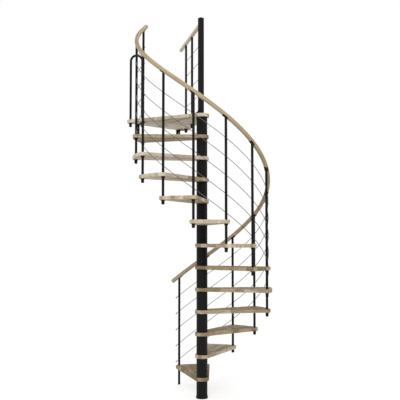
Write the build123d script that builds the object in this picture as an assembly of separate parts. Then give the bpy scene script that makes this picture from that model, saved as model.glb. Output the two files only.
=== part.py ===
from build123d import *
import os
from math import acos, atan2, cos, degrees, radians, sin, sqrt, tan

os.makedirs("parts", exist_ok=True)

# A spiral stair that climbs clockwise seen from above, in millimetres and degrees.
# The origin is the column's axis at the floor, +Z up, +Y square to the landing's straight edge.
# Balusters are numbered from 0 at the floor, and a baluster's number is also a place along the stair.

# Flight
FIRST_RISE = 206.0
RISE = 220.0
TREAD_COUNT = 12
STEP_ANGLE = 26.07
FIRST_ANGLE = 72.4
BALUSTER_RADIUS = 666.5

# Treads and landing
TREAD_THICKNESS = 34.0
CORNER_RADIUS = 35.5
HUB_RADIUS = 70.0
EDGE_ROUND = 2.5
LANDING_DEPTH = 765.0
LANDING_HALF_ANGLE = 25.4
LANDING_HUB_RADIUS = 73.0
LANDING_RAIL_SIDE = 46.0
EAR_RADIUS = 36.0
EAR_BLEND = 40.0

# Column
CORE_DIAMETER = 60.0
CORE_WALL = 4.0
SLEEVE_DIAMETER = 110.0
SLEEVE_WALL = 3.0
FLANGE_DIAMETER = 118.0
FLANGE_LIP = 2.0
FLANGE_HEIGHT = 26.0
FLANGE_PLATE = 8.0
ANCHOR_CIRCLE = 80.0
ANCHOR_HOLE = 9.0
ANCHOR_COUNT = 3

# Balusters and their fittings
BALUSTER_DIAMETER = 25.0
BALUSTER_WALL = 1.5
CAP_FLANGE_DIAMETER = 44.0
CAP_BODY_DIAMETER = 30.0
CAP_DEPTH = 42.0
CAP_CONE_DEPTH = 13.0
CAP_FLOOR = 6.0
CAP_ROUND = 6.0
COLLAR_DIAMETER = 42.0
COLLAR_NECK_DIAMETER = 31.0
COLLAR_HEIGHT = 18.0

# Rods, with drops measured from the handrail's centre
ROD_DIAMETER = 6.0
ROD_COUNT = 5
ROD_TOP_DROP = 210.0
ROD_SPACING = 172.7
ROD_OVERHANG = 40.0
ROD_UPPER_OVERHANG = 31.0
ROD_BREAK = 2.0
STOP_DIAMETER = 11.0
STOP_LENGTH = 12.0

# Handrail, with its ends and joints as places along the stair
RAIL_DIAMETER = 42.0
RAIL_ABOVE_TREAD = 1186.0
RAIL_START = -0.24
RAIL_END = 12.19
RAIL_JOINTS = (2.5, 5.5, 8.5)
RAIL_SOCKET = 12.0
RAIL_CAP_LENGTH = 14.0
RAIL_CAP_ROUND = 9.0

# Landing balustrade and newel post
POST_SIDE = 46.0
POST_WALL = 3.0
POST_HEIGHT = 1000.0
POST_CAP = 4.0
POST_SHIFT = 10.0
FOOT_THICKNESS = 10.0
FOOT_REACH = 60.0
FOOT_HOLE = 7.0
FOOT_HOLE_SPACING = 30.0
FOOT_HOLE_INSET = 12.0
GUSSET_THICKNESS = 6.0
GUSSET_HEIGHT = 42.0
LANDING_RAIL_HEIGHT = 940.0
LANDING_RAIL_LENGTH = 956.0
LANDING_BALUSTER_START = 398.0
LANDING_BALUSTER_SPACING = 298.0
LANDING_BALUSTER_COUNT = 2

# Bow between the handrail's end and the floor slab
BOW_WIDTH = 124.0
BOW_HEIGHT = 712.0
BOW_TURN = -45.0

# Brackets that hold the landing to the floor slab
BRACKET_WIDTH = 56.0
BRACKET_THICKNESS = 5.0
BRACKET_DROP = 100.0
BRACKET_REACH = 80.0
BRACKET_OFFSET = 278.0
BRACKET_HOLE = 9.0
BRACKET_HOLE_SPACING = 40.0
BRACKET_HOLE_DROP = 35.0
BRACKET_SCREW_HOLE = 6.5
BRACKET_SCREW_SPACING = 40.0
BRACKET_SCREW_INSET = 18.0

# Clearances
FIT = 0.3
SEAM = 0.2

# Derived sizes
LANDING_TOP = FIRST_RISE + RISE * TREAD_COUNT
LANDING_UNDERSIDE = LANDING_TOP - TREAD_THICKNESS
HUB_BORE = CORE_DIAMETER + 2 * FIT
BALUSTER_HOLE = BALUSTER_DIAMETER + 2 * FIT
ROD_HOLE = ROD_DIAMETER + 2 * FIT
NOSING_SIDE = 90 + LANDING_HALF_ANGLE
RAIL_SIDE = 90 - LANDING_HALF_ANGLE
BALUSTER_STEP = BALUSTER_RADIUS * radians(STEP_ANGLE)
ROD_SLOPE = degrees(atan2(RISE, BALUSTER_STEP))
TUBE_BELOW = CAP_DEPTH - CAP_FLOOR - FIT
LANDING_RAIL_CENTRE = LANDING_TOP + LANDING_RAIL_HEIGHT


def polar(radius, angle, z=0.0):
    return Vector(radius * cos(radians(angle)), radius * sin(radians(angle)), z)


def angle_at(number):
    return FIRST_ANGLE - STEP_ANGLE * number


def top_at(number):
    """The top of tread number, or the treads' line at a place between."""
    return FIRST_RISE + RISE * (number - 1)


def baluster_centre(number):
    return polar(BALUSTER_RADIUS, angle_at(number))


def moved(shape, place, z):
    return Pos(place.X, place.Y, z) * shape


def drill(diameter, place, low, high):
    return moved(extrude(Circle(diameter / 2), high - low), place, low)


def tube(diameter, wall, place, low, high):
    ring = Circle(diameter / 2) - Circle(diameter / 2 - wall)
    return moved(extrude(ring, high - low), place, low)


def turned(points):
    return revolve(Plane.XZ * make_face(Polyline(*points, close=True)), Axis.Z)


def save(name, *solids):
    shape = solids[0] if len(solids) == 1 else Compound(children=list(solids))
    shape.label = name
    export_step(shape, f"parts/{name}.step")


# Paths that climb with the stair
def climbing_path(radius, start, end, height):
    """A helix from one place along the stair to another, at a height above the treads' line."""
    path = Helix(RISE * 360 / STEP_ANGLE, RISE * (end - start), radius, lefthand=True)
    return Pos(0, 0, height + top_at(start)) * Rot(0, 0, angle_at(start)) * path


def climbing_bar(diameter, radius, start, end, height):
    path = climbing_path(radius, start, end, height)
    section = Plane(origin=path @ 0, z_dir=path % 0) * Circle(diameter / 2)
    return sweep(section, path=path, is_frenet=True)


def rod_height(rod):
    """How far a stair rod runs above the treads' line."""
    return RAIL_ABOVE_TREAD - ROD_TOP_DROP - ROD_SPACING * rod


# Treads: a hub ring, straight sides, and corners rounded round the two baluster holes
def eased_slab(outline):
    slab = extrude(make_face(outline), TREAD_THICKNESS)
    faces = slab.faces().sort_by(Axis.Z)
    return fillet(faces[0].edges() + faces[-1].edges(), EDGE_ROUND)


def tread_outline():
    spread = STEP_ANGLE / 2
    lean = degrees(acos((HUB_RADIUS - CORNER_RADIUS) / BALUSTER_RADIUS))
    outer = BALUSTER_RADIUS + CORNER_RADIUS
    edges = []
    for side in (1, -1):
        corner = polar(BALUSTER_RADIUS, side * spread)
        facing = side * (spread + lean)
        corner_end = corner + polar(CORNER_RADIUS, facing)
        middle = corner + polar(CORNER_RADIUS, side * (spread + lean / 2))
        edges.append(Line(polar(HUB_RADIUS, facing), corner_end))
        edges.append(ThreePointArc(corner_end, middle, polar(outer, side * spread)))
    edges.append(ThreePointArc(polar(outer, spread), polar(outer, 0), polar(outer, -spread)))
    hub_ends = [polar(HUB_RADIUS, side * (spread + lean)) for side in (1, -1)]
    edges.append(ThreePointArc(hub_ends[0], polar(HUB_RADIUS, 180), hub_ends[1]))
    return edges


def tread(number):
    top = top_at(number)
    low = top - TREAD_THICKNESS
    slab = Pos(0, 0, low) * Rot(0, 0, angle_at(number - 0.5)) * eased_slab(tread_outline())
    slab -= drill(HUB_BORE, Vector(), low, top)
    for hole in (number - 1, number):
        slab -= drill(BALUSTER_HOLE, baluster_centre(hole), low, top)
    return slab


# Landing: a hub ring, a nosing side with an ear round the last baluster, a straight edge
def bow_places():
    """The bow's two legs, the first in the landing's rounded tip."""
    y = LANDING_DEPTH - CORNER_RADIUS
    inset = (LANDING_HUB_RADIUS - CORNER_RADIUS) / cos(radians(LANDING_HALF_ANGLE))
    tip = Vector(-inset - y * tan(radians(LANDING_HALF_ANGLE)), y)
    return tip, tip + polar(BOW_WIDTH, BOW_TURN)


def post_place():
    return Pos(*polar(POST_SHIFT, RAIL_SIDE + 90, LANDING_TOP))


def balustrade_frame():
    """At the newel post's centre, with X along the landing's balustrade."""
    return post_place() * Rot(0, 0, RAIL_SIDE)


def newel_frame():
    """At the newel post's centre, with X towards the straight edge and Y towards the nosing side."""
    return post_place() * Rot(0, 0, 90)


def landing_baluster_spots():
    """How far along the balustrade each landing baluster stands."""
    steps = range(LANDING_BALUSTER_COUNT)
    return [LANDING_BALUSTER_START + LANDING_BALUSTER_SPACING * n for n in steps]


def landing_baluster_places():
    return [(balustrade_frame() * Pos(spot, 0, 0)).position for spot in landing_baluster_spots()]


def nosing_ear(outward):
    """The edges that take the nosing side round the last baluster's hole."""
    centre = baluster_centre(TREAD_COUNT)
    out = polar(1, outward)
    along = polar(1, NOSING_SIDE)
    depth = LANDING_HUB_RADIUS - centre.dot(out)
    reach = sqrt((EAR_RADIUS + EAR_BLEND) ** 2 - (depth + EAR_BLEND) ** 2)
    blends = [centre + out * (depth + EAR_BLEND) + along * reach * side for side in (-1, 1)]
    feet = [blend - out * EAR_BLEND for blend in blends]
    meets = [centre + (blend - centre).normalized() * EAR_RADIUS for blend in blends]
    arcs = []
    for blend, foot, meet in zip(blends, feet, meets):
        middle = blend + ((foot + meet) / 2 - blend).normalized() * EAR_BLEND
        arcs.append(ThreePointArc(foot, middle, meet))
    nose = ThreePointArc(meets[0], centre + out * EAR_RADIUS, meets[1])
    return feet, [arcs[0], nose, arcs[1]]


def landing_outline():
    outward = NOSING_SIDE + 90
    tip = bow_places()[0]
    nosing_start = polar(LANDING_HUB_RADIUS, outward)
    nosing_end = tip + polar(CORNER_RADIUS, outward)
    feet, ear = nosing_ear(outward)
    edge_start = tip + polar(CORNER_RADIUS, 90)
    tip_middle = tip + polar(CORNER_RADIUS, (outward + 90) / 2)
    slant = radians(LANDING_HALF_ANGLE)
    edge_end = Vector(LANDING_RAIL_SIDE / cos(slant) + LANDING_DEPTH * tan(slant), LANDING_DEPTH)
    lean = degrees(acos(LANDING_RAIL_SIDE / LANDING_HUB_RADIUS))
    rail_side_start = polar(LANDING_HUB_RADIUS, lean - LANDING_HALF_ANGLE)
    return [
        Line(nosing_start, feet[0]),
        *ear,
        Line(feet[1], nosing_end),
        ThreePointArc(nosing_end, tip_middle, edge_start),
        Line(edge_start, edge_end),
        Line(edge_end, rail_side_start),
        ThreePointArc(rail_side_start, polar(LANDING_HUB_RADIUS, -90), nosing_start),
    ]


def landing():
    slab = Pos(0, 0, LANDING_UNDERSIDE) * eased_slab(landing_outline())
    slab -= drill(HUB_BORE, Vector(), LANDING_UNDERSIDE, LANDING_TOP)
    places = [baluster_centre(TREAD_COUNT), *bow_places(), *landing_baluster_places()]
    for place in places:
        slab -= drill(BALUSTER_HOLE, place, LANDING_UNDERSIDE, LANDING_TOP)
    return slab


# Column: a flange bolted to the floor, a core tube, and a sleeve under each tread and the landing
def floor_flange():
    inner = SLEEVE_DIAMETER / 2 + FIT
    outer = FLANGE_DIAMETER / 2
    wall = [
        (0, 0),
        (outer, 0),
        (outer, FLANGE_PLATE),
        (inner + FLANGE_LIP, FLANGE_HEIGHT),
        (inner, FLANGE_HEIGHT),
        (inner, FLANGE_PLATE),
        (0, FLANGE_PLATE),
    ]
    flange = turned(wall)
    for n in range(ANCHOR_COUNT):
        place = polar(ANCHOR_CIRCLE / 2, 90 + 360 / ANCHOR_COUNT * n)
        flange -= drill(ANCHOR_HOLE, place, 0, FLANGE_PLATE)
    return flange


def sleeve(number):
    """The sleeve that stands on tread number and carries the next one."""
    low = top_at(number) if number else FLANGE_PLATE
    high = top_at(number + 1) - TREAD_THICKNESS
    return tube(SLEEVE_DIAMETER, SLEEVE_WALL, Vector(), low, high)


# Balusters, with the cap under their own tread and the collar under the next one
def rod_hole(number, height):
    """A drill through a baluster along a stair rod."""
    heading = polar(cos(radians(ROD_SLOPE)), angle_at(number) - 90, sin(radians(ROD_SLOPE)))
    centre = baluster_centre(number) + Vector(0, 0, height)
    hole = extrude(Circle(ROD_HOLE / 2), BALUSTER_DIAMETER, both=True)
    return Plane(origin=centre, z_dir=heading) * hole


def baluster(number):
    low = top_at(number) - TREAD_THICKNESS - TUBE_BELOW if number else 0.0
    high = top_at(number) + RAIL_ABOVE_TREAD - RAIL_SOCKET
    post = tube(BALUSTER_DIAMETER, BALUSTER_WALL, baluster_centre(number), low, high)
    for rod in range(ROD_COUNT):
        post -= rod_hole(number, rod_height(rod) + top_at(number))
    return post


def baluster_cap(place, underside):
    flange = CAP_FLANGE_DIAMETER / 2
    body = CAP_BODY_DIAMETER / 2
    cap = turned([(0, 0), (flange, 0), (body, -CAP_CONE_DEPTH), (body, -CAP_DEPTH), (0, -CAP_DEPTH)])
    cap = fillet(cap.edges().sort_by(Axis.Z)[0], CAP_ROUND)
    cap -= drill(BALUSTER_HOLE, Vector(), CAP_FLOOR - CAP_DEPTH, 0)
    return moved(cap, place, underside)


def collar(place, underside):
    wide = COLLAR_DIAMETER / 2
    neck = COLLAR_NECK_DIAMETER / 2
    hole = BALUSTER_HOLE / 2
    ring = turned([(hole, 0), (wide, 0), (neck, -COLLAR_HEIGHT), (hole, -COLLAR_HEIGHT)])
    return moved(ring, place, underside)


# Stair rods, in lengths that meet inside the balusters, with a stop at each open end
def rod_stop(path, place, along):
    plane = Plane(origin=path @ place, z_dir=(path % place) * along)
    return plane * extrude(Circle(STOP_DIAMETER / 2), STOP_LENGTH)


def stair_rod(rod):
    inset = ROD_BREAK / BALUSTER_STEP
    lengths = []
    for number in range(TREAD_COUNT):
        start = number + inset if number else -ROD_OVERHANG / BALUSTER_STEP
        last = number == TREAD_COUNT - 1
        end = TREAD_COUNT + ROD_UPPER_OVERHANG / BALUSTER_STEP if last else number + 1 - inset
        length = climbing_bar(ROD_DIAMETER, BALUSTER_RADIUS, start, end, rod_height(rod))
        path = climbing_path(BALUSTER_RADIUS, start, end, rod_height(rod))
        if not number:
            length += rod_stop(path, 0, 1)
        if last:
            length += rod_stop(path, 1, -1)
        lengths.append(length)
    return lengths


# Handrail, with a socket over each baluster
def handrail(start, end):
    seam = SEAM / 2 / BALUSTER_STEP
    bar = climbing_bar(RAIL_DIAMETER, BALUSTER_RADIUS, start + seam, end - seam, RAIL_ABOVE_TREAD)
    for number in range(TREAD_COUNT + 1):
        if start < number < end:
            high = top_at(number) + RAIL_ABOVE_TREAD - RAIL_SOCKET + FIT
            low = high - RAIL_DIAMETER
            bar -= drill(BALUSTER_HOLE, baluster_centre(number), low, high)
    return bar


def rail_cap(plane):
    cap = extrude(Circle(RAIL_DIAMETER / 2), RAIL_CAP_LENGTH)
    rim = cap.edges().filter_by(GeomType.CIRCLE).sort_by(Axis.Z)[-1]
    return plane * fillet(rim, RAIL_CAP_ROUND)


def rail_caps():
    path = climbing_path(BALUSTER_RADIUS, RAIL_START, RAIL_END, RAIL_ABOVE_TREAD)
    lower = Plane(origin=path @ 0, z_dir=-(path % 0))
    upper = Plane(origin=path @ 1, z_dir=path % 1)
    end = balustrade_frame() * Pos(LANDING_RAIL_LENGTH, 0, LANDING_RAIL_HEIGHT)
    outer = Plane(origin=end.position, z_dir=polar(1, RAIL_SIDE))
    return [rail_cap(plane) for plane in (lower, upper, outer)]


# Landing balustrade
def landing_bar(diameter, start, end, height):
    bar = Rot(0, 90, 0) * extrude(Circle(diameter / 2), end - start)
    return balustrade_frame() * Pos(start, 0, height) * bar


def landing_rod_heights():
    return [LANDING_RAIL_HEIGHT - ROD_TOP_DROP - ROD_SPACING * rod for rod in range(ROD_COUNT)]


def newel_post():
    half = POST_SIDE / 2
    inner = POST_SIDE - 2 * POST_WALL
    walls = Rectangle(POST_SIDE, POST_SIDE) - Rectangle(inner, inner)
    high = POST_HEIGHT - POST_CAP
    post = Pos(0, 0, FOOT_THICKNESS) * extrude(walls, high - FOOT_THICKNESS)
    post += Pos(0, 0, high) * extrude(Rectangle(POST_SIDE, POST_SIDE), POST_CAP)
    foot = Pos(0, (FOOT_REACH - half) / 2) * Rectangle(POST_SIDE, half + FOOT_REACH)
    for side in (-1, 1):
        spot = Pos(side * FOOT_HOLE_SPACING / 2, FOOT_REACH - FOOT_HOLE_INSET)
        foot -= spot * Circle(FOOT_HOLE / 2)
    post += extrude(foot, FOOT_THICKNESS)
    top = FOOT_THICKNESS + GUSSET_HEIGHT
    corners = [(half, FOOT_THICKNESS), (FOOT_REACH, FOOT_THICKNESS), (half, top)]
    web = Plane.YZ * make_face(Polyline(*corners, close=True))
    post += extrude(web, GUSSET_THICKNESS / 2, both=True)
    post = newel_frame() * post
    for height in landing_rod_heights():
        post -= landing_bar(ROD_HOLE, 0, POST_SIDE, height)
    return post


def landing_baluster(place):
    low = LANDING_UNDERSIDE - TUBE_BELOW
    post = tube(BALUSTER_DIAMETER, BALUSTER_WALL, place, low, LANDING_RAIL_CENTRE - RAIL_SOCKET)
    for height in landing_rod_heights():
        post -= landing_bar(ROD_HOLE, 0, LANDING_RAIL_LENGTH, height)
    return post


def landing_rail():
    """Cut flush with the newel post's face."""
    rail = landing_bar(RAIL_DIAMETER, 0, LANDING_RAIL_LENGTH, LANDING_RAIL_HEIGHT)
    waste = Box(2 * POST_SIDE, 4 * RAIL_DIAMETER, 2 * RAIL_DIAMETER)
    rail -= newel_frame() * Pos(SEAM - POST_SIDE / 2, 0, LANDING_RAIL_HEIGHT) * waste
    high = LANDING_RAIL_CENTRE - RAIL_SOCKET + FIT
    for place in landing_baluster_places():
        rail -= drill(BALUSTER_HOLE, place, high - RAIL_DIAMETER, high)
    return rail


def landing_rod(height):
    end = landing_baluster_spots()[-1] + ROD_OVERHANG
    rod = landing_bar(ROD_DIAMETER, POST_SIDE / 2 - POST_WALL, end, height)
    return rod + landing_bar(STOP_DIAMETER, end - STOP_LENGTH, end, height)


# Bow: one bent tube through the landing's tip and beside the last baluster
def bow():
    first, second = bow_places()
    low = LANDING_UNDERSIDE - TUBE_BELOW
    spring = LANDING_TOP + BOW_HEIGHT - BALUSTER_DIAMETER / 2 - BOW_WIDTH / 2
    crown = (first + second) / 2 + Vector(0, 0, spring + BOW_WIDTH / 2)
    bottoms = [place + Vector(0, 0, low) for place in (first, second)]
    springs = [place + Vector(0, 0, spring) for place in (first, second)]
    route = Wire(
        [
            Line(bottoms[0], springs[0]),
            ThreePointArc(springs[0], crown, springs[1]),
            Line(springs[1], bottoms[1]),
        ]
    )
    ring = Circle(BALUSTER_DIAMETER / 2) - Circle(BALUSTER_DIAMETER / 2 - BALUSTER_WALL)
    return sweep(Plane(origin=bottoms[0], z_dir=(0, 0, 1)) * ring, path=route)


# Brackets: an angle under the landing's straight edge, bolted to the floor slab's face
def bracket(side):
    face = LANDING_DEPTH
    x = side * BRACKET_OFFSET
    profile = Polyline(
        (face, LANDING_UNDERSIDE),
        (face, LANDING_UNDERSIDE - BRACKET_DROP),
        (face - BRACKET_THICKNESS, LANDING_UNDERSIDE - BRACKET_DROP),
        (face - BRACKET_THICKNESS, LANDING_UNDERSIDE - BRACKET_THICKNESS),
        (face - BRACKET_REACH, LANDING_UNDERSIDE - BRACKET_THICKNESS),
        (face - BRACKET_REACH, LANDING_UNDERSIDE),
        close=True,
    )
    angle = Pos(x, 0, 0) * extrude(Plane.YZ * make_face(profile), BRACKET_WIDTH / 2, both=True)
    bolt = extrude(Circle(BRACKET_HOLE / 2), 2 * BRACKET_THICKNESS, both=True)
    for n in (0, 1):
        z = LANDING_UNDERSIDE - BRACKET_HOLE_DROP - BRACKET_HOLE_SPACING * n
        angle -= Plane(origin=(x, face, z), z_dir=(0, 1, 0)) * bolt
        y = face - BRACKET_REACH + BRACKET_SCREW_INSET + BRACKET_SCREW_SPACING * n
        low = LANDING_UNDERSIDE - BRACKET_THICKNESS
        angle -= drill(BRACKET_SCREW_HOLE, Vector(x, y), low, LANDING_UNDERSIDE)
    return angle


save("floor_flange", floor_flange())
save("column_core", tube(CORE_DIAMETER, CORE_WALL, Vector(), FLANGE_PLATE, LANDING_TOP))
save("column_sleeves", *[sleeve(n) for n in range(TREAD_COUNT + 1)])
for n in range(1, TREAD_COUNT + 1):
    save(f"tread_{n:02d}", tread(n))
save("landing", landing())
for n in range(TREAD_COUNT + 1):
    save(f"baluster_{n:02d}", baluster(n))
undersides = [top_at(n) - TREAD_THICKNESS for n in range(1, TREAD_COUNT + 2)]
caps = [baluster_cap(baluster_centre(n + 1), z) for n, z in enumerate(undersides[:-1])]
landing_posts = [*bow_places(), *landing_baluster_places()]
caps += [baluster_cap(place, LANDING_UNDERSIDE) for place in landing_posts]
save("baluster_caps", *caps)
save("baluster_collars", *[collar(baluster_centre(n), z) for n, z in enumerate(undersides)])
for n in range(ROD_COUNT):
    save(f"stair_rod_{n + 1}", *stair_rod(n))
rail_stations = [RAIL_START, *RAIL_JOINTS, RAIL_END]
for n, (start, end) in enumerate(zip(rail_stations, rail_stations[1:])):
    save(f"handrail_{n + 1}", handrail(start, end))
save("rail_end_caps", *rail_caps())
save("newel_post", newel_post())
save("landing_balusters", *[landing_baluster(place) for place in landing_baluster_places()])
save("landing_rail", landing_rail())
save("landing_rods", *[landing_rod(height) for height in landing_rod_heights()])
save("bow", bow())
save("landing_brackets", bracket(-1), bracket(1))
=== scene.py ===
from math import atan2, cos, pi, radians, sin

import bmesh
import bpy
from mathutils import Euler, Matrix, Vector


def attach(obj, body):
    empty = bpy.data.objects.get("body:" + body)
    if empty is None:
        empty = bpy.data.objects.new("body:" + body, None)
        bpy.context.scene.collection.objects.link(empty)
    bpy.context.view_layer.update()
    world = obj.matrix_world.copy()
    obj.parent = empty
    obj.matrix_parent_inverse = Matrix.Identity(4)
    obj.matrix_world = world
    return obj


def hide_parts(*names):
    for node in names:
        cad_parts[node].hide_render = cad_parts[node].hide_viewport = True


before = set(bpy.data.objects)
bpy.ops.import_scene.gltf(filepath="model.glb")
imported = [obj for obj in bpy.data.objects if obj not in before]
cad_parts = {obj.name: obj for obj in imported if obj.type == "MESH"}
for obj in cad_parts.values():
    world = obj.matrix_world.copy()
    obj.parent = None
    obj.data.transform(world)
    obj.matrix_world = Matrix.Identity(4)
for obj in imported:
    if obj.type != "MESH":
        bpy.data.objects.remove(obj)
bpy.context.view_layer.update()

# Camera: at eye height on the lower floor, a few metres in front of the stair and looking a little up.
# A lens a little longer than normal keeps the column and the balusters close to upright.
CAMERA_PLACE = (-4.1828, -5.0786, 1.5385)
CAMERA_TURN = (93.734, 0.0, -39.307)
CAMERA_LENS = 58.639
CAMERA_FILM_WIDTH = 36.0
CAMERA_REACH = 100.0

lens = bpy.data.cameras.new("view")
lens.lens = CAMERA_LENS
lens.sensor_width = CAMERA_FILM_WIDTH
lens.clip_end = CAMERA_REACH
camera = bpy.data.objects.new("view", lens)
camera.location = CAMERA_PLACE
camera.rotation_euler = Euler([radians(turn) for turn in CAMERA_TURN])
bpy.context.scene.collection.objects.link(camera)
bpy.context.scene.camera = camera
bpy.context.scene.view_settings.view_transform = "Standard"

# Studio: a white surround and a matt white floor that keeps the stair's shadow.
# Most of the light comes from all round, and two soft lamps stand to the left and right of the camera.
DOME_STRENGTH = 0.75
WHITE = (1.0, 1.0, 1.0, 1.0)
FLOOR_COLOUR = (0.90, 0.90, 0.90, 1.0)
FLOOR_SHOWN_WHITE = 0.6
FLOOR_GLOW = 1.22
FLOOR_HALF = 30.0
FLOOR_DROP = 0.0003
LAMP_AIM = (0.0, 0.0, 2.0)
LAMPS = {
    "key": {"place": (-4.6, -3.2, 5.2), "size": 3.0, "power": 165.0},
    "fill": {"place": (2.5, -6.0, 3.0), "size": 3.0, "power": 40.0},
}


class Socket:
    """One socket of a material or of the surround, on which sums are written as Python."""

    def __init__(self, tree, socket=None):
        self.tree = tree
        self.socket = socket

    def node(self, kind, settings, inputs, output=0):
        """Adds a node: its settings first, then the values or links of its inputs."""
        made = self.tree.nodes.new(kind)
        for name, value in settings.items():
            if name == "stops":
                ramp = made.color_ramp.elements
                while len(ramp) < len(value):
                    ramp.new(0.5)
                for stop, (place, colour) in zip(ramp, value):
                    stop.position = place
                    stop.color = (*colour, 1.0)
            else:
                setattr(made, name, value)
        for name, value in inputs.items():
            if isinstance(value, Socket):
                self.tree.links.new(value.socket, made.inputs[name])
            else:
                made.inputs[name].default_value = value
        return Socket(self.tree, made.outputs[output] if len(made.outputs) else None)

    def out(self, name):
        """Another output of the node that this socket belongs to."""
        return Socket(self.tree, self.socket.node.outputs[name])

    def ordered(self, operation, *values):
        """A Math node on values in the order given."""
        return self.node("ShaderNodeMath", {"operation": operation}, dict(enumerate(values)))

    def maths(self, operation, *others):
        """A Math node whose first value is this socket."""
        return self.ordered(operation, self, *others)

    def __add__(self, other):
        return self.maths("ADD", other)

    __radd__ = __add__

    def __sub__(self, other):
        return self.maths("SUBTRACT", other)

    def __rsub__(self, other):
        return self.ordered("SUBTRACT", other, self)

    def __mul__(self, other):
        return self.maths("MULTIPLY", other)

    __rmul__ = __mul__

    def __truediv__(self, other):
        return self.maths("DIVIDE", other)

    def __rtruediv__(self, other):
        return self.ordered("DIVIDE", other, self)


world = bpy.data.worlds.new("surround")
world.use_nodes = True
world.node_tree.nodes.clear()
sky = Socket(world.node_tree)
ray = sky.node("ShaderNodeLightPath", {}, {}, "Is Camera Ray")
seen = ray.maths("MAXIMUM", ray.out("Is Glossy Ray")).maths("MAXIMUM", ray.out("Is Transmission Ray"))
strength = DOME_STRENGTH + seen * (1.0 - DOME_STRENGTH)
shine = sky.node("ShaderNodeBackground", {}, {"Color": WHITE, "Strength": strength})
sky.node("ShaderNodeOutputWorld", {}, {"Surface": shine})
bpy.context.scene.world = world

for name, settings in LAMPS.items():
    lamp = bpy.data.lights.new(name, "AREA")
    lamp.shape = "DISK"
    lamp.size = settings["size"]
    lamp.energy = settings["power"]
    stand = bpy.data.objects.new(name, lamp)
    stand.location = settings["place"]
    aim = Vector(LAMP_AIM) - Vector(settings["place"])
    stand.rotation_euler = aim.to_track_quat("-Z", "Y").to_euler()
    stand.visible_camera = False
    stand.visible_glossy = False
    bpy.context.scene.collection.objects.link(stand)


def shader(name):
    """A new material and a Socket that adds nodes to it."""
    material = bpy.data.materials.new(name)
    material.use_nodes = True
    material.node_tree.nodes.clear()
    return material, Socket(material.node_tree)


def piece(name, mesh, material, slot=None):
    """An object at the origin from a bmesh, which rides with the stair where it has a slot."""
    data = bpy.data.meshes.new(name)
    mesh.to_mesh(data)
    mesh.free()
    data.materials.append(material)
    made = bpy.data.objects.new(name, data)
    bpy.context.scene.collection.objects.link(made)
    if slot:
        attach(made, "root")
    return made


floor_material, floor = shader("white_floor")
matt = floor.node("ShaderNodeBsdfDiffuse", {}, {"Color": FLOOR_COLOUR})
plain = floor.node("ShaderNodeEmission", {}, {"Color": WHITE, "Strength": FLOOR_GLOW})
ray = floor.node("ShaderNodeLightPath", {}, {}, "Is Camera Ray")
seen = ray.maths("MAXIMUM", ray.out("Is Glossy Ray")) * FLOOR_SHOWN_WHITE
mixed = floor.node("ShaderNodeMixShader", {}, {0: seen, 1: matt, 2: plain})
floor.node("ShaderNodeOutputMaterial", {}, {"Surface": mixed})
sheet = bmesh.new()
bmesh.ops.create_grid(sheet, x_segments=1, y_segments=1, size=FLOOR_HALF)
bmesh.ops.translate(sheet, verts=sheet.verts, vec=(0.0, 0.0, -FLOOR_DROP))
piece("floor", sheet, floor_material)

# Column: steel sleeves slipped over a core tube, one between each pair of treads, in black powder coat.
# Black plastic rings centre the wood where a sleeve meets it.
# Its flange is held to the floor by three zinc-plated bolts.
FIRST_RISE = 0.206
RISE = 0.220
TREAD_COUNT = 12
TREAD_THICKNESS = 0.034
SLEEVE_RADIUS = 0.0550
RING_RADIUS = 0.0563
RING_HEIGHT = 0.0045
RING_LIP = 0.001125
RING_SUNK = 0.001
RING_SEGMENTS = 64
FLANGE_PLATE = 0.008
ANCHOR_COUNT = 3
ANCHOR_CIRCLE_RADIUS = 0.040
FIRST_ANCHOR_ANGLE = 90.0
ANCHOR_BOLT = {"across": 0.010, "head": 0.005, "washer": 0.0085}
WASHER_THICKNESS = 0.0016
WASHER_EDGE = 0.0003
UP = (0.0, 0.0, 1.0)
BLACK_COAT = (0.0058, 0.0052, 0.0051)
BLACK_PLASTIC = (0.0050, 0.0050, 0.0052)
DUST_LIFT = 1.8
DUST_COLOUR = 0.001
CLOUD_SHEEN = 0.16
PEEL_SHEEN = 0.08
ZINC = (0.42, 0.42, 0.40)
ZINC_SHADE = 0.7


def finish_surface(nodes, inputs):
    """Ends a material in one Principled shader."""
    surface = nodes.node("ShaderNodeBsdfPrincipled", {}, inputs)
    nodes.node("ShaderNodeOutputMaterial", {}, {"Surface": surface})


def own_noise(nodes, scale, detail):
    """Even noise that stays with the piece."""
    place = nodes.node("ShaderNodeTexCoord", {}, {}, "Object")
    return nodes.node("ShaderNodeTexNoise", {}, {"Vector": place, "Scale": scale, "Detail": detail})


def relief(nodes, strength, depth, height):
    """A normal raised by a height, whose full step is depth in metres."""
    return nodes.node("ShaderNodeBump", {}, {"Strength": strength, "Distance": depth, "Height": height})


def mix_colours(nodes, factor, first, second):
    """The first colour where the factor is 0 and the second where it is 1."""
    inputs = {0: factor, 6: first, 7: second}
    return nodes.node("ShaderNodeMix", {"data_type": "RGBA", "blend_type": "MIX"}, inputs, 2)


def dark_finish(name, colour, roughness, specular, peel_scale, peel_depth):
    """Powder coat or moulded plastic: a fine texture, faint dust and uneven sheen."""
    material, nodes = shader(name)
    peel = own_noise(nodes, peel_scale, 2.0)
    cloud = own_noise(nodes, 9.0, 3.0)
    dusty = tuple(DUST_LIFT * part + DUST_COLOUR for part in colour)
    inputs = {
        "Base Color": mix_colours(nodes, cloud, (*colour, 1.0), (*dusty, 1.0)),
        "Roughness": roughness + (cloud - 0.5) * CLOUD_SHEEN + (peel - 0.5) * PEEL_SHEEN,
        "Specular IOR Level": specular,
        "Normal": relief(nodes, 0.5, peel_depth, peel),
    }
    finish_surface(nodes, inputs)
    return material


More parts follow.
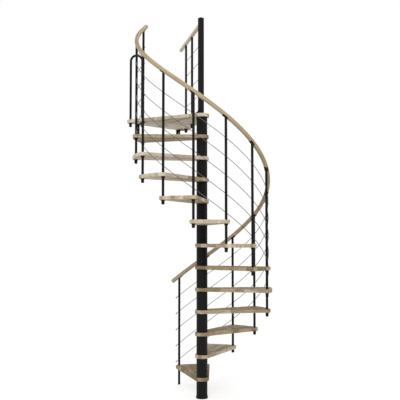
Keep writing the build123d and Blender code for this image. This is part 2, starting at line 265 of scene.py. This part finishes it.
def zinc_finish():
    """Bright fastener steel with faint turning marks."""
    material, nodes = shader("zinc_plate")
    cloud = own_noise(nodes, 260.0, 3.0)
    darker = tuple(ZINC_SHADE * part for part in ZINC)
    inputs = {
        "Base Color": mix_colours(nodes, cloud, (*ZINC, 1.0), (*darker, 1.0)),
        "Metallic": 1.0,
        "Roughness": 0.38 + (cloud - 0.5) * 0.2,
        "Normal": relief(nodes, 0.3, 0.0001, cloud),
    }
    finish_surface(nodes, inputs)
    return material


def dress(material, *names):
    """Gives CAD nodes their material."""
    for name in names:
        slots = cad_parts[name].data.materials
        slots.clear()
        slots.append(material)


powder_coat = dark_finish(
    "black_powder_coat", BLACK_COAT, roughness=0.46, specular=0.10, peel_scale=1400.0, peel_depth=0.00012
)
plastic = dark_finish(
    "black_plastic", BLACK_PLASTIC, roughness=0.55, specular=0.10, peel_scale=2400.0, peel_depth=0.00006
)
zinc = zinc_finish()
dress(powder_coat, "floor_flange", "column_core", "column_sleeves")


def polar(radius, angle, z=0.0):
    """A place from its distance to the column's axis and its direction in degrees."""
    return Vector((radius * cos(radians(angle)), radius * sin(radians(angle)), z))


def top_at(number):
    """The height of a tread's top."""
    return FIRST_RISE + RISE * (number - 1)


def closed(mesh):
    """Welds a mesh and turns its faces outwards."""
    bmesh.ops.remove_doubles(mesh, verts=mesh.verts, dist=1e-6)
    bmesh.ops.recalc_face_normals(mesh, faces=mesh.faces)
    return mesh


def smooth(made, angle=35.0):
    """Smooth shading that keeps edges sharper than the angle."""
    made.data.shade_smooth()
    made.data.set_sharp_from_angle(angle=radians(angle))
    return made


def centring_ring(mesh, height):
    """Spins one ring round the column's axis, its underside at the height."""
    profile = [
        (SLEEVE_RADIUS - RING_SUNK, 0.0),
        (RING_RADIUS - RING_LIP, 0.0),
        (RING_RADIUS, RING_LIP),
        (RING_RADIUS, RING_HEIGHT - RING_LIP),
        (RING_RADIUS - RING_LIP, RING_HEIGHT),
        (SLEEVE_RADIUS - RING_SUNK, RING_HEIGHT),
    ]
    base = Vector((0.0, 0.0, height))
    verts = [mesh.verts.new(base + Vector((radius, 0.0, z))) for radius, z in profile]
    edges = [mesh.edges.new((a, b)) for a, b in zip(verts, verts[1:] + verts[:1])]
    spun = {"geom": verts + edges, "angle": 2 * pi, "steps": RING_SEGMENTS, "use_merge": True}
    bmesh.ops.spin(mesh, cent=base, axis=UP, **spun)


rings = bmesh.new()
for n in range(TREAD_COUNT + 1):
    centring_ring(rings, top_at(n + 1) - TREAD_THICKNESS - RING_HEIGHT)
    if n:
        centring_ring(rings, top_at(n))
smooth(piece("centring_rings", closed(rings), plastic, "black_plastic"))


def fastener_seat(place, axis):
    """Puts a fastener's underside at a place, with its head out along the axis."""
    return Matrix.Translation(place) @ Vector(axis).to_track_quat("Z", "Y").to_matrix().to_4x4()


def top_face(shape, seat):
    """The face of a new shape that lies furthest out from its seat."""
    faces = {face for vert in shape["verts"] for face in vert.link_faces}
    return max(faces, key=lambda face: (seat.inverted() @ face.calc_center_median()).z)


def hex_bolt(mesh, place, axis, across, head, washer):
    """A hexagon head with a chamfered top on a round washer."""
    seat = fastener_seat(place, axis)
    disc = bmesh.ops.create_cone(
        mesh, cap_ends=True, segments=32, radius1=washer, radius2=washer, depth=WASHER_THICKNESS,
        matrix=seat @ Matrix.Translation((0.0, 0.0, WASHER_THICKNESS / 2)),
    )
    rim = {edge for vert in disc["verts"] for edge in vert.link_edges}
    bmesh.ops.bevel(
        mesh, geom=list(rim), offset=WASHER_EDGE, segments=1, profile=0.5, affect="EDGES", material=-1
    )
    radius = across / 2 / cos(pi / 6)
    block = bmesh.ops.create_cone(
        mesh, cap_ends=True, segments=6, radius1=radius, radius2=radius, depth=head,
        matrix=seat @ Matrix.Translation((0.0, 0.0, WASHER_THICKNESS + head / 2)),
    )
    chamfer = across * 0.06
    bmesh.ops.bevel(
        mesh, geom=list(top_face(block, seat).edges), offset=chamfer, segments=2, profile=0.5,
        affect="EDGES", material=-1,
    )


anchors = bmesh.new()
for n in range(ANCHOR_COUNT):
    spot = polar(ANCHOR_CIRCLE_RADIUS, FIRST_ANCHOR_ANGLE + 360 / ANCHOR_COUNT * n, FLANGE_PLATE)
    hex_bolt(anchors, spot, UP, **ANCHOR_BOLT)
piece("floor_anchor_bolts", closed(anchors), zinc, "rod_steel")

# Treads: boards of beech staves, jointed in length and glued side by side, 34 mm thick and lacquered.
# The staves run from the column outwards, so that the long sides show side grain.
# Each board is clamped between two of the column's sleeves.
STEP_ANGLE = 26.07
FIRST_ANGLE = 72.4
STAVE_WIDTH = 0.042
STAVE_LENGTH = 0.24
STAVE_SHIFTS = 5.0
SIDE_JOINT = 0.007
END_JOINT = 0.0016
WOOD_LIGHT = (0.602, 0.540, 0.430)
WOOD_MIDDLE = (0.392, 0.308, 0.195)
WOOD_DARK = (0.214, 0.158, 0.088)
WOOD_STOPS = [(0.18, WOOD_DARK), (0.52, WOOD_MIDDLE), (0.86, WOOD_LIGHT)]
FIGURE_SHADE = 0.88
GRAIN_SHADE = 0.38
PATCH_SHADE = 0.30
STAVE_SHADE = 0.44
EVEN_SHADE = 0.50
EVEN_TINT = 0.5
PORE_LEVEL = 0.66
PORE_MARK = 0.22
GLUE_MARK = 0.3
DEEPEST_MARK = 0.5
GRAIN_HEIGHT = 0.7
PORE_HEIGHT = -0.6
GLUE_HEIGHT = -0.8
# Each tread's lightness on the wood ramp, set board by board: part is the board's own colour, which differs
# at random, and part is painted light and shade. On the whole the boards are darker low down, as painted
# shade from the treads above, and lighter higher up, as painted light.
TREAD_TONES_AND_PAINTED_LIGHT = (-0.22, 0.06, -0.12, -0.12, -0.02, -0.24, 0.14, 0.10, 0.10, 0.16, 0.38, -0.09)
TREAD_SEED_STEP = 3.7

# Streaks in the wood: how fast they change along and across the grain, their detail and their waviness.
STAVE_FIGURE = (3.6, 32.0, 2.5, 1.4)
GRAIN = (9.0, 240.0, 4.0, 0.0)
PORES = (38.0, 900.0, 2.0, 0.0)
PATCHES = (5.0, 9.0, 2.0, 0.0)


def own_place(nodes, angle):
    """The piece's own coordinates in metres, turned so that the first runs along the angle."""
    place = nodes.node("ShaderNodeTexCoord", {}, {}, "Object")
    turn = {"Vector": place, "Rotation": (0.0, 0.0, -radians(angle))}
    turned = nodes.node("ShaderNodeMapping", {"vector_type": "POINT"}, turn)
    part = nodes.node("ShaderNodeSeparateXYZ", {}, {"Vector": turned})
    return part, part.out("Y"), part.out("Z")


def streaks(nodes, line, seed, long_scale, cross_scale, detail, warp):
    """Noise drawn out along the grain."""
    stretch = {
        "Vector": line,
        "Scale": (long_scale, cross_scale, cross_scale),
        "Location": (seed, seed * 0.7, 0.0),
    }
    lie = nodes.node("ShaderNodeMapping", {"vector_type": "POINT"}, stretch)
    wave = {"Vector": lie, "Scale": 1.0, "Detail": detail, "Roughness": 0.6, "Distortion": warp}
    return nodes.node("ShaderNodeTexNoise", {}, wave)


def stave_pattern(nodes, along, across, seed):
    """A tint for each stave, and a mask of the glue lines between them."""
    rows = across / STAVE_WIDTH + seed
    row = rows.maths("FLOOR")
    slide = nodes.node("ShaderNodeTexWhiteNoise", {"noise_dimensions": "1D"}, {"W": row + seed})
    run = along / STAVE_LENGTH + slide * STAVE_SHIFTS
    cell = nodes.node("ShaderNodeCombineXYZ", {}, {"X": row, "Y": run.maths("FLOOR"), "Z": seed})
    tint = nodes.node("ShaderNodeTexWhiteNoise", {"noise_dimensions": "3D"}, {"Vector": cell})
    side = rows.maths("PINGPONG", 0.5).maths("LESS_THAN", SIDE_JOINT)
    end = run.maths("PINGPONG", 0.5).maths("LESS_THAN", END_JOINT)
    return tint, side + end


def wood_finish(nodes, place, seed, tone_and_painted_light, figure, staves):
    """Lacquered wood whose grain runs along the first of the three coordinates in place."""
    along, across, up = place
    line = nodes.node("ShaderNodeCombineXYZ", {}, {"X": along, "Y": across, "Z": up})
    flame = streaks(nodes, line, seed, *figure)
    grain = streaks(nodes, line, seed, *GRAIN)
    patches = streaks(nodes, line, seed, *PATCHES)
    dots = streaks(nodes, line, seed, *PORES).maths("GREATER_THAN", PORE_LEVEL)
    tint, glue = stave_pattern(nodes, along, across, seed) if staves else (EVEN_TINT, 0.0)
    streaked = flame * FIGURE_SHADE + grain * GRAIN_SHADE + patches * PATCH_SHADE
    # The last value shifts the whole piece along the ramp. For the treads, the landing and the landing rail
    # it holds painted light and shade besides the wood's own colour.
    shade = streaked + tint * STAVE_SHADE - EVEN_SHADE + tone_and_painted_light
    colour = nodes.node("ShaderNodeValToRGB", {"stops": WOOD_STOPS}, {"Fac": shade})
    mark = (dots * PORE_MARK + glue * GLUE_MARK).maths("MINIMUM", DEEPEST_MARK)
    height = grain * GRAIN_HEIGHT + dots * PORE_HEIGHT + glue * GLUE_HEIGHT
    inputs = {
        "Base Color": mix_colours(nodes, mark, colour, (*WOOD_DARK, 1.0)),
        "Roughness": 0.50 + (grain - 0.5) * 0.16 + dots * 0.1,
        "Specular IOR Level": 0.03,
        "Normal": relief(nodes, 0.35, 0.0002, height),
    }
    finish_surface(nodes, inputs)


def straight_wood(name, angle, seed, tone_and_painted_light, figure=STAVE_FIGURE, staves=True):
    """Wood whose grain lies level along the angle, as a stave board unless staves is off."""
    material, nodes = shader(name)
    wood_finish(nodes, own_place(nodes, angle), seed, tone_and_painted_light, figure, staves)
    return material


def angle_at(number):
    """The direction of a baluster from the column; halves are the middles of treads."""
    return FIRST_ANGLE - STEP_ANGLE * number


# Each board gets its own lightness, which carries the painted light and shade set above.
for n, tone_and_painted_light in enumerate(TREAD_TONES_AND_PAINTED_LIGHT, 1):
    board = straight_wood(f"tread_wood_{n:02d}", angle_at(n - 0.5), TREAD_SEED_STEP * n, tone_and_painted_light)
    dress(board, f"tread_{n:02d}")

# Landing: one board of the same beech staves, laid square to the straight edge that meets the upper floor.
# It lies on the column's last sleeve and is screwed to two brackets along that edge.
LANDING_STAVE_ANGLE = 90.0
LANDING_SEED = 51.3
# The landing is lighter than the treads beside it: partly the board's own colour, partly painted light, as
# if light from below fell on its edge and underside.
LANDING_TONE_AND_PAINTED_LIGHT = 0.27

landing_board = straight_wood("landing_wood", LANDING_STAVE_ANGLE, LANDING_SEED, LANDING_TONE_AND_PAINTED_LIGHT)
dress(landing_board, "landing")

# Balusters: black powder-coated steel tube, in a plastic cap under one tread and a collar under the next.
# Under the rail each one ends at a plastic saddle, a strip bent round the wood and fixed with two screws.
BALUSTER_RADIUS = 0.6665
RAIL_ABOVE_TREAD = 1.186
RAIL_TUBE_RADIUS = 0.021
SADDLE_GAP = 0.0001
SADDLE_THICKNESS = 0.0035
SADDLE_INNER = RAIL_TUBE_RADIUS + SADDLE_GAP
SADDLE_OUTER = SADDLE_INNER + SADDLE_THICKNESS
SADDLE_LENGTH = 0.056
SADDLE_SPREAD = 110.0
SADDLE_STEPS = 14
SADDLE_EDGE = 0.0008
SADDLE_SCREW_RADIUS = 0.0032
SADDLE_SCREW_REACH = 0.021

baluster_names = [f"baluster_{n:02d}" for n in range(TREAD_COUNT + 1)]
dress(powder_coat, *baluster_names, "landing_balusters")
dress(plastic, "baluster_caps", "baluster_collars")


def new_verts(geometry):
    """The vertices among the geometry that an extrusion made."""
    return [part for part in geometry["geom"] if isinstance(part, bmesh.types.BMVert)]


def socket_screw(mesh, place, axis, radius):
    """A low screw head with a sunk round socket."""
    seat = fastener_seat(place, axis)
    height = radius * 0.55
    crown = radius * 0.8
    rim = radius * 0.38
    sunk = height * 0.7
    head = bmesh.ops.create_cone(
        mesh, cap_ends=True, segments=20, radius1=radius, radius2=crown, depth=height,
        matrix=seat @ Matrix.Translation((0.0, 0.0, height / 2)),
    )
    top = top_face(head, seat)
    bmesh.ops.inset_region(mesh, faces=[top], thickness=rim, depth=0.0)
    well = bmesh.ops.extrude_face_region(mesh, geom=[top])
    inwards = (seat.to_3x3() @ Vector(UP)) * -sunk
    bmesh.ops.translate(mesh, verts=new_verts(well), vec=inwards)
    bmesh.ops.delete(mesh, geom=[top], context="FACES")


def rail_saddle(mesh, seat):
    """Bends a strip round the underside of the rail, eases its edges and adds it to the mesh."""
    strip = bmesh.new()
    start = Matrix.Rotation(radians(180.0 - SADDLE_SPREAD / 2), 3, "X")
    half = SADDLE_LENGTH / 2
    section = [(-half, SADDLE_INNER), (half, SADDLE_INNER), (half, SADDLE_OUTER), (-half, SADDLE_OUTER)]
    face = strip.faces.new([strip.verts.new(start @ Vector((end, 0.0, reach))) for end, reach in section])
    bend = {"axis": (1, 0, 0), "angle": radians(SADDLE_SPREAD), "steps": SADDLE_STEPS}
    bmesh.ops.spin(strip, geom=[face, *face.edges, *face.verts], **bend)
    bmesh.ops.recalc_face_normals(strip, faces=strip.faces)
    sharp = [edge for edge in strip.edges if edge.calc_face_angle(0.0) > radians(60)]
    bmesh.ops.bevel(
        strip, geom=sharp, offset=SADDLE_EDGE, segments=2, profile=0.5, affect="EDGES", material=-1
    )
    strip.transform(seat)
    bent = bpy.data.meshes.new("saddle")
    strip.to_mesh(bent)
    strip.free()
    mesh.from_mesh(bent)
    bpy.data.meshes.remove(bent)


rail_slope = atan2(RISE, BALUSTER_RADIUS * radians(STEP_ANGLE))
saddles = bmesh.new()
saddle_screws = bmesh.new()
for n in range(TREAD_COUNT + 1):
    side = polar(1.0, angle_at(n))
    ahead = polar(1.0, angle_at(n) - 90.0) * cos(rail_slope) + Vector((0.0, 0.0, sin(rail_slope)))
    above = ahead.cross(side)
    seat = Matrix((ahead, side, above)).transposed().to_4x4()
    seat.translation = polar(BALUSTER_RADIUS, angle_at(n), top_at(n) + RAIL_ABOVE_TREAD)
    rail_saddle(saddles, seat)
    for end in (-1, 1):
        spot = seat @ Vector((SADDLE_SCREW_REACH * end, 0.0, -SADDLE_OUTER))
        socket_screw(saddle_screws, spot, -above, SADDLE_SCREW_RADIUS)
smooth(piece("rail_saddles", saddles, plastic, "black_plastic"))
piece("saddle_screws", saddle_screws, zinc, "rod_steel")

# Rods: thin stainless rods with a satin face, threaded through the balusters as rails for the open sides.
# They are bent to the stair's curve, straight above the landing, and have a stop at each open end.
ROD_COUNT = 5
ROD_DARK = (0.110, 0.110, 0.114, 1.0)
ROD_LIGHT = (0.165, 0.165, 0.170, 1.0)


def rod_finish():
    """Drawn rod: fine lines and an even satin sheen."""
    material, nodes = shader("satin_rod")
    lines = own_noise(nodes, 700.0, 2.0)
    cloud = own_noise(nodes, 14.0, 2.0)
    inputs = {
        "Base Color": mix_colours(nodes, cloud, ROD_DARK, ROD_LIGHT),
        "Metallic": 1.0,
        "Roughness": 0.34 + (lines - 0.5) * 0.2,
        "Normal": relief(nodes, 0.2, 0.00005, lines),
    }
    finish_surface(nodes, inputs)
    return material


dress(rod_finish(), *[f"stair_rod_{n}" for n in range(1, ROD_COUNT + 1)], "landing_rods")

# Handrail: round lacquered beech in four glued lengths that climb with the stair, and a straight one
# above the landing. The grain follows the curve, and starts over where there is no rail.
# A grey plastic cap closes each open end.
RAIL_LENGTHS = 4
RAIL_GAP_ANGLE = 97.0
RAIL_SEED = 8.1
RAIL_TONE = 0.02
LANDING_RAIL_ANGLE = 64.6
LANDING_RAIL_SEED = 2.3
# The straight rail is much lighter than the climbing one: painted light that lifts it where it faces away
# from the lamps behind the post, on top of the wood's own colour.
LANDING_RAIL_TONE_AND_PAINTED_LIGHT = 0.40
RAIL_FIGURE = (1.0, 60.0, 1.0, 0.2)
GREY_PLASTIC = (0.26, 0.27, 0.235)


def climbing_wood():
    """Wood whose grain climbs round the column with the rail."""
    material, nodes = shader("rail_wood_curved")
    x, y, z = own_place(nodes, RAIL_GAP_ANGLE - 180.0)
    angle = y.maths("ARCTAN2", x)
    reach = (x * x + y * y).maths("SQRT")
    climb = RISE / radians(STEP_ANGLE)
    place = (angle * BALUSTER_RADIUS, reach, z + angle * climb)
    wood_finish(nodes, place, RAIL_SEED, RAIL_TONE, RAIL_FIGURE, staves=False)
    return material


landing_rail_wood = straight_wood(
    "rail_wood_straight", LANDING_RAIL_ANGLE, LANDING_RAIL_SEED, LANDING_RAIL_TONE_AND_PAINTED_LIGHT,
    figure=RAIL_FIGURE, staves=False,
)
grey_plastic = dark_finish(
    "grey_plastic", GREY_PLASTIC, roughness=0.5, specular=0.4, peel_scale=1800.0, peel_depth=0.00006
)
dress(climbing_wood(), *[f"handrail_{n}" for n in range(1, RAIL_LENGTHS + 1)])
dress(landing_rail_wood, "landing_rail")
dress(grey_plastic, "rail_end_caps")

# Newel post: square steel tube with rounded corners, in black powder coat, with a plastic plug in its top.
# It is welded to a foot plate and a gusset, and the plate is screwed to the landing near the column's axis.
LANDING_TOP = top_at(TREAD_COUNT + 1)
POST_SHIFT = 0.010
POST_HALF = 0.023
POST_HEIGHT = 1.000
POST_CORNER = 0.0035
PLUG_HEIGHT = 0.004
PLUG_EDGE = 0.0015
TUBE_TOP = POST_HEIGHT - PLUG_HEIGHT
FOOT_THICKNESS = 0.010
FOOT_REACH = 0.060
FOOT_EDGE = 0.0012
FOOT_SCREW_RADIUS = 0.0055
FOOT_SCREW_OFFSET = 0.015
FOOT_SCREW_INSET = 0.012
GUSSET_THICKNESS = 0.006
GUSSET_HEIGHT = 0.042
GUSSET_INSET = 0.002
GUSSET_SUNK = 0.0005
WELD_RADIUS = 0.0025


def block(mesh, low, high):
    """A box between two corners; returns its vertices."""
    centre = (Vector(low) + Vector(high)) / 2
    size = Matrix.Diagonal((*(Vector(high) - Vector(low)), 1.0))
    made = bmesh.ops.create_cube(mesh, size=1.0, matrix=Matrix.Translation(centre) @ size)
    return made["verts"]


def round_edges(mesh, verts, width, chosen, segments):
    """Bevels the edges of these vertices whose direction and middle pass the test."""
    picked = []
    for edge in {edge for vert in verts for edge in vert.link_edges}:
        start, end = (vert.co for vert in edge.verts)
        if chosen((end - start).normalized(), (start + end) / 2):
            picked.append(edge)
    bmesh.ops.bevel(
        mesh, geom=picked, offset=width, segments=segments, profile=0.5, affect="EDGES", material=-1
    )


def upright(way, middle):
    """Picks the edges that stand upright."""
    return abs(way.z) > 0.9


def level_at(height):
    """Picks the level edges that lie at a height."""
    return lambda way, middle: abs(way.z) < 0.1 and middle.z > height - 0.001


def gusset(mesh):
    """A three-cornered web between the tube's face and the foot plate."""
    tip = FOOT_REACH - GUSSET_INSET
    top = FOOT_THICKNESS + GUSSET_HEIGHT
    sides = [(POST_HALF, FOOT_THICKNESS), (tip, FOOT_THICKNESS), (POST_HALF, top)]
    half = GUSSET_THICKNESS / 2
    corners = [mesh.verts.new((-half, y - GUSSET_SUNK, z - GUSSET_SUNK)) for y, z in sides]
    web = bmesh.ops.extrude_face_region(mesh, geom=[mesh.faces.new(corners)])
    bmesh.ops.translate(mesh, verts=new_verts(web), vec=(GUSSET_THICKNESS, 0.0, 0.0))


def weld_beads(mesh):
    """A bead of weld along each side of the tube's foot."""
    length = 2 * (POST_HALF - POST_CORNER)
    side = Matrix.Translation((0.0, -POST_HALF, FOOT_THICKNESS)) @ Matrix.Rotation(pi / 2, 4, "Y")
    for quarter in range(4):
        bmesh.ops.create_cone(
            mesh, cap_ends=True, segments=12, radius1=WELD_RADIUS, radius2=WELD_RADIUS, depth=length,
            matrix=Matrix.Rotation(quarter * pi / 2, 4, "Z") @ side,
        )


post_place = polar(POST_SHIFT, LANDING_RAIL_ANGLE + 90.0, LANDING_TOP)
post_seat = Matrix.Translation(post_place) @ Matrix.Rotation(pi / 2, 4, "Z")
post = bmesh.new()
tube = block(post, (-POST_HALF, -POST_HALF, FOOT_THICKNESS), (POST_HALF, POST_HALF, TUBE_TOP))
round_edges(post, tube, POST_CORNER, upright, 3)
foot = block(post, (-POST_HALF, -POST_HALF, 0.0), (POST_HALF, FOOT_REACH, FOOT_THICKNESS))
round_edges(post, foot, FOOT_EDGE, level_at(FOOT_THICKNESS), 2)
gusset(post)
weld_beads(post)
bmesh.ops.recalc_face_normals(post, faces=post.faces)
post.transform(post_seat)
newel = smooth(piece("newel_post_tube", post, powder_coat, "black_steel"), 25.0)
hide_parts("newel_post")

plug = bmesh.new()
lid = block(plug, (-POST_HALF, -POST_HALF, TUBE_TOP), (POST_HALF, POST_HALF, POST_HEIGHT))
round_edges(plug, lid, POST_CORNER, upright, 3)
round_edges(plug, plug.verts[:], PLUG_EDGE, level_at(POST_HEIGHT), 2)
plug.transform(post_seat)
smooth(piece("newel_post_plug", closed(plug), plastic, "black_plastic"), 40.0)

foot_screws = bmesh.new()
for side in (-1, 1):
    spot = post_seat @ Vector((side * FOOT_SCREW_OFFSET, FOOT_REACH - FOOT_SCREW_INSET, FOOT_THICKNESS))
    socket_screw(foot_screws, spot, UP, FOOT_SCREW_RADIUS)
piece("foot_plate_screws", foot_screws, zinc, "rod_steel")

# Bow: one steel tube bent to a narrow U, in the same black powder coat as the balusters.
# It closes the gap between the handrail's end and the floor, and its legs pass through the landing.
dress(powder_coat, "bow")

# Brackets: two steel angles under the landing's straight edge, in black powder coat.
# Each is held to the face of the floor by two zinc-plated bolts, one above the other.
LANDING_DEPTH = 0.765
BRACKET_OFFSET = 0.278
BRACKET_THICKNESS = 0.005
BRACKET_HOLE_DROP = 0.035
BRACKET_HOLE_SPACING = 0.040
BRACKET_BOLT = {"across": 0.013, "head": 0.0055, "washer": 0.0095}
INWARDS = (0.0, -1.0, 0.0)

dress(powder_coat, "landing_brackets")
bolts = bmesh.new()
for side in (-1, 1):
    for n in range(2):
        z = LANDING_TOP - TREAD_THICKNESS - BRACKET_HOLE_DROP - BRACKET_HOLE_SPACING * n
        spot = (side * BRACKET_OFFSET, LANDING_DEPTH - BRACKET_THICKNESS, z)
        hex_bolt(bolts, spot, INWARDS, **BRACKET_BOLT)
piece("bracket_bolts", closed(bolts), zinc, "rod_steel")
